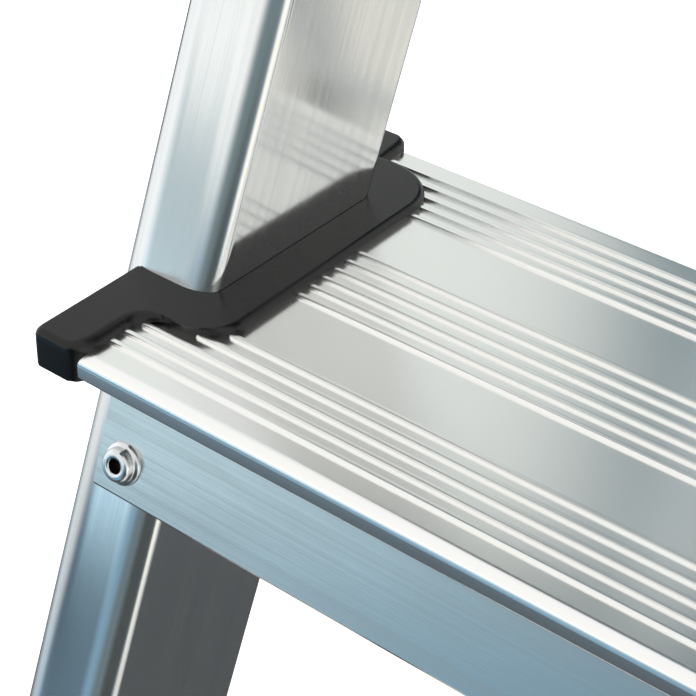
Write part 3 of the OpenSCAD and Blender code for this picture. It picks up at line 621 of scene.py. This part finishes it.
def set_of(pattern, places, name, node, smooth=40):
    """Copies of one fastener at each left place and at its mirror, as one piece."""
    copies = [placed(copied(pattern), where) for where in places]
    copies += [mirrored(c) for c in copies]
    bpy.data.objects.remove(pattern)
    finished(joined(*copies), name, slot_material[slots[node]], [node], smooth)


INTO_FRONT = turn(-math.pi / 2, "X")      # a fastener's Z turned to run back
INTO_BACK = turn(math.pi / 2, "X")
tread_points = [k * RISE / math.cos(LEAN) - RIVET_DOWN for k in (1, 2, 3)]
set_of(blind_rivet(SKIRT_T + FIT + STILE_WALL),
       [STILE @ shift(RIVET_IN, -SKIRT_T - FIT, s) @ INTO_FRONT for s in tread_points]
       + [STILE @ shift(RIVET_IN, STILE_D + SKIRT_T + FIT, s) @ INTO_BACK for s in tread_points],
       "tread_rivets_made", "tread_rivets")
set_of(blind_rivet(FOOT_WALL + STILE_WALL),
       [STILE @ shift(STILE_W / 2, -FOOT_WALL, FOOT_RIVET) @ INTO_FRONT],
       "front_foot_rivets_made", "front_foot_rivets")
set_of(blind_rivet(FOOT_WALL + STILE_WALL),
       [REAR_STILE @ shift(REAR_W / 2, REAR_D + FOOT_WALL, REAR_FOOT_RIVET - REAR_LEN) @ INTO_BACK],
       "rear_foot_rivets_made", "rear_foot_rivets")

# ---------- feet ----------

def foot(w, d, r, length, start, where):
    """A moulded shoe round a stile's end, with grip grooves round it, cut level on the floor."""
    wall = FOOT_WALL
    shell = pulled(grown(w, d, wall, r + wall), length, start)
    beveled(shell, 1.2, 3, 60)
    placed(shell, where)
    cut_flat(shell, 0)
    beveled(shell, 0.8, 2, 40)
    hollow = placed(pulled(grown(w, d, FIT, r), length + 50, start), where)
    cut_flat(hollow, SOLE_T)
    cut(shell, hollow)
    floor_of_groove = wall - GROOVE_DEPTH
    for z in GROOVES:
        outer = placed(pulled(grown(w, d, wall + 2, r + wall + 2), length, start), where)
        cut_flat(outer, z)
        cut_flat(outer, z + GROOVE_H, keep_above=False)
        inner = pulled(grown(w, d, floor_of_groove, r + floor_of_groove), length + 40, start - 20)
        cut(outer, placed(inner, where))
        cut(shell, outer)
    return shell


both_sides(foot(STILE_W, STILE_D, STILE_R, STILE_D + FOOT_H, -STILE_D, STILE),
           "front_foot", foot_plastic, "front_foot_SIDE", 35)
both_sides(foot(REAR_W, REAR_D, REAR_R, REAR_D + FOOT_H, -REAR_LEN - REAR_D, REAR_STILE),
           "rear_foot", foot_plastic, "rear_foot_SIDE", 35)

# ---------- rear frame ----------

rear = placed(pulled(rounded(REAR_W, REAR_D, REAR_R), REAR_LEN + REAR_D + REAR_TOP,
                     start=-REAR_LEN - REAR_D), REAR_STILE)
cut_flat(rear, SOLE_T)
both_sides(rear, "rear_stile", stile_metal, "rear_stile_SIDE")


def rear_bar(node, outline, z):
    """A bar across the rear frame, pulled to the CAD bar's length; outline in depth and height."""
    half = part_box(node)[1].x / MM
    bar = placed(pulled(outline, 2 * half, start=-half), REAR @ shift(0, 0, z) @ ACROSS)
    finished(bar, node + "_made", stile_metal, [node])


def flat_bar(height):
    return [(y, z - height / 2) for y, z in rounded(REAR_D / 2, height, REAR_R)]


rear_bar("rear_bar_top", arc(0, 0, TOP_BAR_R, 0, 355, 71), -TOP_BAR_DROP)
rear_bar("rear_bar_middle", flat_bar(BAR_H), -REAR_LEN * 0.5)
rear_bar("rear_bar_bottom", flat_bar(BAR_H), -REAR_LEN * 0.86)
for node, soft in (("rear_brace_left", 0.5), ("rear_brace_right", 0.5), ("rear_stile_plugs", 0.8),
                   ("rear_hinge_bushes", 0.0), ("rear_bar_screws", 0.0), ("brace_rivets", 0.0)):
    from_cad(node, slot_material[slots[node]], soft)

# ---------- brackets, hinge bolts and side rails ----------

for node, soft in (("hinge_bracket_left", 0.6), ("hinge_bracket_right", 0.6), ("bracket_rivets", 0.0),
                   ("rear_hinge_bolts", 0.0), ("rear_hinge_nuts", 0.3), ("platform_bolts", 0.0),
                   ("platform_nuts", 0.3), ("platform_side_left", 0.5), ("platform_side_right", 0.5),
                   ("platform_bushes", 0.4), ("platform_screws", 0.0), ("tray_screws", 0.0)):
    from_cad(node, slot_material[slots[node]], soft)

# ---------- platform deck ----------

def deck():
    """The deck's profile: ribs in groups, rolled edges with a lip below, and two stiffening webs."""
    groups = [3, 4, 4, 4, 3]
    ribs = [FIRST_RIB + (PLATFORM_D - 2 * FIRST_RIB) * (g + 0.5) / len(groups) + (i - (n - 1) / 2) * RIB_PITCH
            for g, n in enumerate(groups) for i in range(n)]
    d, wall, lip, soft = PLATFORM_D, DECK_WALL, DECK_LIP, 0.4
    under = -RIB_H - wall
    bottom = -DECK_T
    front_edge, back_edge = edge_round(0, d)
    webs = [p for y in (d * 2 / 3, d / 3)
            for p in ((y + wall, under), (y + wall, bottom), (y, bottom), (y, under))]
    return ([(soft, bottom), (0, bottom + soft)] + front_edge + [p for y in ribs for p in rib(y)] + back_edge
            + [(d, bottom + soft), (d - soft, bottom), (d - lip, bottom), (d - lip, bottom + wall),
               (d - wall, bottom + wall), (d - wall, under)] + webs
            + [(wall, under), (wall, bottom + wall), (lip, bottom + wall), (lip, bottom)])


half = PLATFORM_W / 2 - SIDE_T - FIT
deck_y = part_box("platform_deck")[0].y / MM
finished(placed(pulled(deck(), 2 * half, start=-half), shift(0, deck_y, PLATFORM_Z) @ ACROSS),
         "platform_deck_made", tread_metal, ["platform_deck"])

# ---------- tool tray ----------

low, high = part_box("tool_tray")
tray_half, tray_y, tray_z = high.x / MM, low.y / MM, high.z / MM - TRAY_H
bowl = outer_x(SLOPE_TOP) - STILE_W / math.cos(TAPER) - 8
tray = pulled([(x - tray_half, y) for x, y in rounded(2 * tray_half, TRAY_D, TRAY_R, 12)], TRAY_H)
beveled(tray, 1.5, 4, 60)
bowl_outline = rounded(2 * bowl, TRAY_D - 2 * TRAY_WALL, TRAY_R - TRAY_WALL, 12)
room = pulled([(x - bowl, y + TRAY_WALL) for x, y in bowl_outline], TRAY_H, start=TRAY_WALL)
beveled(room, 3, 4, 60)
cut(tray, room)
end = tray_half - bowl - 2 * TRAY_WALL
for side in (-1, 1):
    x = side * (bowl + TRAY_WALL + end / 2)
    cut(tray, block(x - end / 2, TRAY_WALL, -1, x + end / 2, TRAY_D - TRAY_WALL, TRAY_H - TRAY_WALL))
placed(tray, shift(0, tray_y, tray_z))
# sockets that take the stile ends, trimmed to the tray's inside
socket = placed(pulled(grown(STILE_W, STILE_D, SOCKET_WALL + FIT, STILE_R), SOCKET_LEN,
                       start=SLOPE_TOP - 62), STILE)
inside = placed(pulled(grown(STILE_W, STILE_D, FIT, STILE_R), SOCKET_LEN, start=SLOPE_TOP - 66), STILE)
cut(socket, block(-300, -600, 0, 300, 600, tray_z))
cut(socket, block(-300, -600, tray_z + TRAY_H - 1, 300, 600, tray_z + 200))
cut(socket, block(-300, tray_y - 100, tray_z - 1, 300, tray_y + 1, tray_z + 200))
sockets = [socket, mirrored(socket)]
insides = [inside, mirrored(inside)]
for s in insides:
    cut(tray, copied(s))
for s, i in zip(sockets, insides):
    cut(s, i)
finished(joined(*sockets, tray), "tool_tray_made", tray_plastic, ["tool_tray"], 35)

# ---------- floor, light and camera ----------

deselect()
bpy.ops.mesh.primitive_grid_add(x_subdivisions=8, y_subdivisions=8, size=60)
floor = bpy.context.object
floor.name = "floor"
floor_paint, tree, shader = new_material("white_studio_floor", Roughness=0.8)
place = add_node(tree, "TexCoord")
patches = add_node(tree, "TexNoise", {"Vector": place.outputs["Object"], "Scale": 1.5, "Detail": 3.0})
tone = add_node(tree, "Mix", {"Factor": patches.outputs[0], "A": colour("#f4f4f4"),
                              "B": colour("#f8f8f7")}, data_type="RGBA")
tree.links.new(tone.outputs["Result"], shader.inputs["Base Color"])
floor.data.materials.append(floor_paint)
floor.visible_glossy = False       # the metal mirrors the studio's soft light, not the floor

world = bpy.data.worlds.new("studio")
bpy.context.scene.world = world
world.use_nodes = True
tree = world.node_tree
direction = add_node(tree, "TexCoord").outputs["Generated"]
height = add_node(tree, "SeparateXYZ", {"Vector": direction}).outputs["Z"]
up = add_node(tree, "MapRange", {"Value": height, "From Min": -1.0, "From Max": 1.0})
sky = add_node(tree, "ValToRGB", {"Fac": up.outputs[0]})
sky.color_ramp.interpolation = "EASE"
# colours by height of the direction, from straight down to straight up
stops = ((-1.0, (0.06, 0.07, 0.08)), (-0.72, (0.085, 0.105, 0.12)), (-0.6, (0.13, 0.18, 0.22)),
         (-0.5, (0.27, 0.42, 0.54)), (-0.42, (0.34, 0.55, 0.72)), (-0.34, (0.10, 0.17, 0.23)),
         (-0.28, (0.07, 0.125, 0.175)), (-0.235, (0.10, 0.18, 0.24)), (-0.20, (0.50, 0.76, 0.94)),
         (-0.16, (1.0, 1.38, 1.58)), (-0.12, (0.88, 1.15, 1.28)), (-0.06, (0.58, 0.72, 0.78)),
         (0.0, (0.53, 0.64, 0.68)), (0.055, (1.22, 1.24, 1.22)), (0.3, (1.0, 0.99, 0.96)),
         (1.0, (0.97, 0.96, 0.93)))
ramp = sky.color_ramp
for i, (z, rgb) in enumerate(stops):
    e = ramp.elements[i] if i < 2 else ramp.elements.new((z + 1) / 2)
    e.position = (z + 1) / 2
    e.color = (*rgb, 1)


def panel(light, towards, inner, outer, rgb):
    """A soft patch of the studio round a direction, between two angles in degrees."""
    axis = Vector(towards).normalized()
    near = add_node(tree, "VectorMath", {0: direction, 1: tuple(axis)}, operation="DOT_PRODUCT")
    mask = add_node(tree, "MapRange", {"Value": near.outputs["Value"],
                                       "From Min": math.cos(math.radians(outer)),
                                       "From Max": math.cos(math.radians(inner))},
                    interpolation_type="SMOOTHSTEP")
    return add_node(tree, "Mix", {"Factor": mask.outputs[0], "A": light, "B": (*rgb, 1)},
                    data_type="RGBA").outputs["Result"]


# the blue is only in front on the left, the rest of the room is nearly neutral
grey = add_node(tree, "RGBToBW", {"Color": sky.outputs["Color"]})
front_left = add_node(tree, "VectorMath", {0: direction, 1: (-0.5, -0.86, 0.0)}, operation="DOT_PRODUCT")
tint = add_node(tree, "MapRange", {"Value": front_left.outputs["Value"], "From Min": 0.45, "From Max": 0.8,
                                   "To Min": 0.3, "To Max": 1.0}, interpolation_type="SMOOTHSTEP")
light = add_node(tree, "Mix", {"Factor": tint.outputs[0], "A": grey.outputs[0], "B": sky.outputs["Color"]},
                 data_type="RGBA").outputs["Result"]
for towards, inner, outer, rgb in (
        ((0.38, -0.92, 0.02), 14, 34, (0.19, 0.26, 0.28)),       # the dark side of the room in front,
        ((-0.15, -0.94, -0.32), 9, 24, (0.24, 0.42, 0.56)),      # its blue low part,
        ((0.05, -0.95, -0.28), 9, 19, (0.17, 0.23, 0.25)),       # fading to grey,
        ((0.42, -0.86, -0.32), 12, 25, (0.07, 0.08, 0.08)),      # and its darkest low corner
        ((0.93, -0.36, 0.05), 12, 21, (1.3, 1.28, 1.2)),         # a white card front right,
        ((0.88, -0.37, -0.30), 8, 15, (1.35, 1.29, 1.14)),       # and its foot
        ((0.54, -0.22, -0.81), 10, 24, (1.3, 1.27, 1.18)),       # lit floor on the right
        ((0.53, 0.76, -0.37), 9, 18, (0.96, 0.93, 0.85)),        # the pale wall behind, on the right,
        ((0.55, 0.65, 0.53), 9, 20, (0.86, 0.86, 0.82)),         # its shaded upper part,
        ((0.50, 0.81, 0.28), 7, 16, (1.15, 1.13, 1.08)),         # and a bright gap between the two
        ((-0.44, 0.71, 0.56), 20, 42, (0.80, 0.83, 0.80)),       # the pale wall behind the tread
        ((-0.96, -0.25, 0.05), 14, 36, (1.2, 1.22, 1.22))):      # a white card on the left
    light = panel(light, towards, inner, outer, rgb)
# behind, the white side ends at an upright edge, beyond which a stretch of the room is dull
side = add_node(tree, "VectorMath", {0: direction, 1: (0.92, 0.39, 0.0)}, operation="DOT_PRODUCT")
beyond = add_node(tree, "MapRange", {"Value": side.outputs["Value"], "From Min": -0.05, "From Max": -0.01},
                  interpolation_type="SMOOTHSTEP")
past = add_node(tree, "VectorMath", {0: direction, 1: (0.99, -0.05, 0.0)}, operation="DOT_PRODUCT")
within = add_node(tree, "MapRange", {"Value": past.outputs["Value"], "From Min": 0.15, "From Max": -0.05},
                  interpolation_type="SMOOTHSTEP")
aloft = add_node(tree, "MapRange", {"Value": height, "From Min": 0.1, "From Max": 0.3},
                 interpolation_type="SMOOTHSTEP")
depth = add_node(tree, "SeparateXYZ", {"Vector": direction}).outputs["Y"]
rearward = add_node(tree, "MapRange", {"Value": depth, "From Min": 0.3, "From Max": 0.6},
                    interpolation_type="SMOOTHSTEP")
part = beyond
for mask in (aloft, rearward, within):
    part = add_node(tree, "Math", {0: part.outputs[0], 1: mask.outputs[0]}, operation="MULTIPLY")
light = add_node(tree, "Mix", {"Factor": part.outputs[0], "A": light, "B": (0.07, 0.13, 0.16, 1)},
                 data_type="RGBA").outputs["Result"]
# seen directly, the studio is a plain pale backdrop
seen = add_node(tree, "LightPath")
light = add_node(tree, "Mix", {"Factor": seen.outputs["Is Camera Ray"], "A": light,
                               "B": (0.97, 0.97, 0.965, 1)},
                 data_type="RGBA").outputs["Result"]
background = tree.nodes["Background"]
tree.links.new(light, background.inputs["Color"])
background.inputs["Strength"].default_value = 1.0


def lamp(name, place, aim, size, power, rgb):
    """A large soft box, unseen by the camera."""
    data = bpy.data.lights.new(name, "AREA")
    data.shape, data.size, data.size_y = "RECTANGLE", size[0], size[1]
    data.energy, data.color = power, rgb
    obj = bpy.data.objects.new(name, data)
    bpy.context.collection.objects.link(obj)
    obj.location = place
    obj.rotation_euler = (Vector(aim) - Vector(place)).to_track_quat("-Z", "Y").to_euler()
    obj.visible_camera = obj.visible_glossy = False
    return obj


lamp("soft_box_above", (-1.2, 0.4, 3.6), (0, 0, 0.5), (3.0, 3.0), 160, (1.0, 0.99, 0.97))
lamp("soft_box_left", (-3.4, -2.2, 1.9), (0, 0, 0.7), (2.0, 2.4), 60, (0.95, 0.98, 1.0))

# the camera stands beside the middle tread's left end, looking down along it
cap_low, cap_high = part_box("tread_cap_left_2")
eye = Vector((cap_low.x, cap_low.y, cap_high.z - CAP_T * MM)) + Vector((234.47, -208.68, 222.36)) * MM
across = Vector((0.795475, 0.604772, 0.038341))
down = Vector((0.379879, -0.448372, -0.809107))
ahead = across.cross(down)
turned = Matrix((across, -down, -ahead)).transposed()
camera_data = bpy.data.cameras.new("camera")
camera_data.sensor_width = 36
camera_data.lens = 88.63
camera_data.clip_start = 0.02
camera = bpy.data.objects.new("camera", camera_data)
bpy.context.collection.objects.link(camera)
camera.matrix_world = Matrix.Translation(eye) @ turned.to_4x4()
bpy.context.scene.camera = camera
bpy.context.scene.view_settings.view_transform = "Standard"
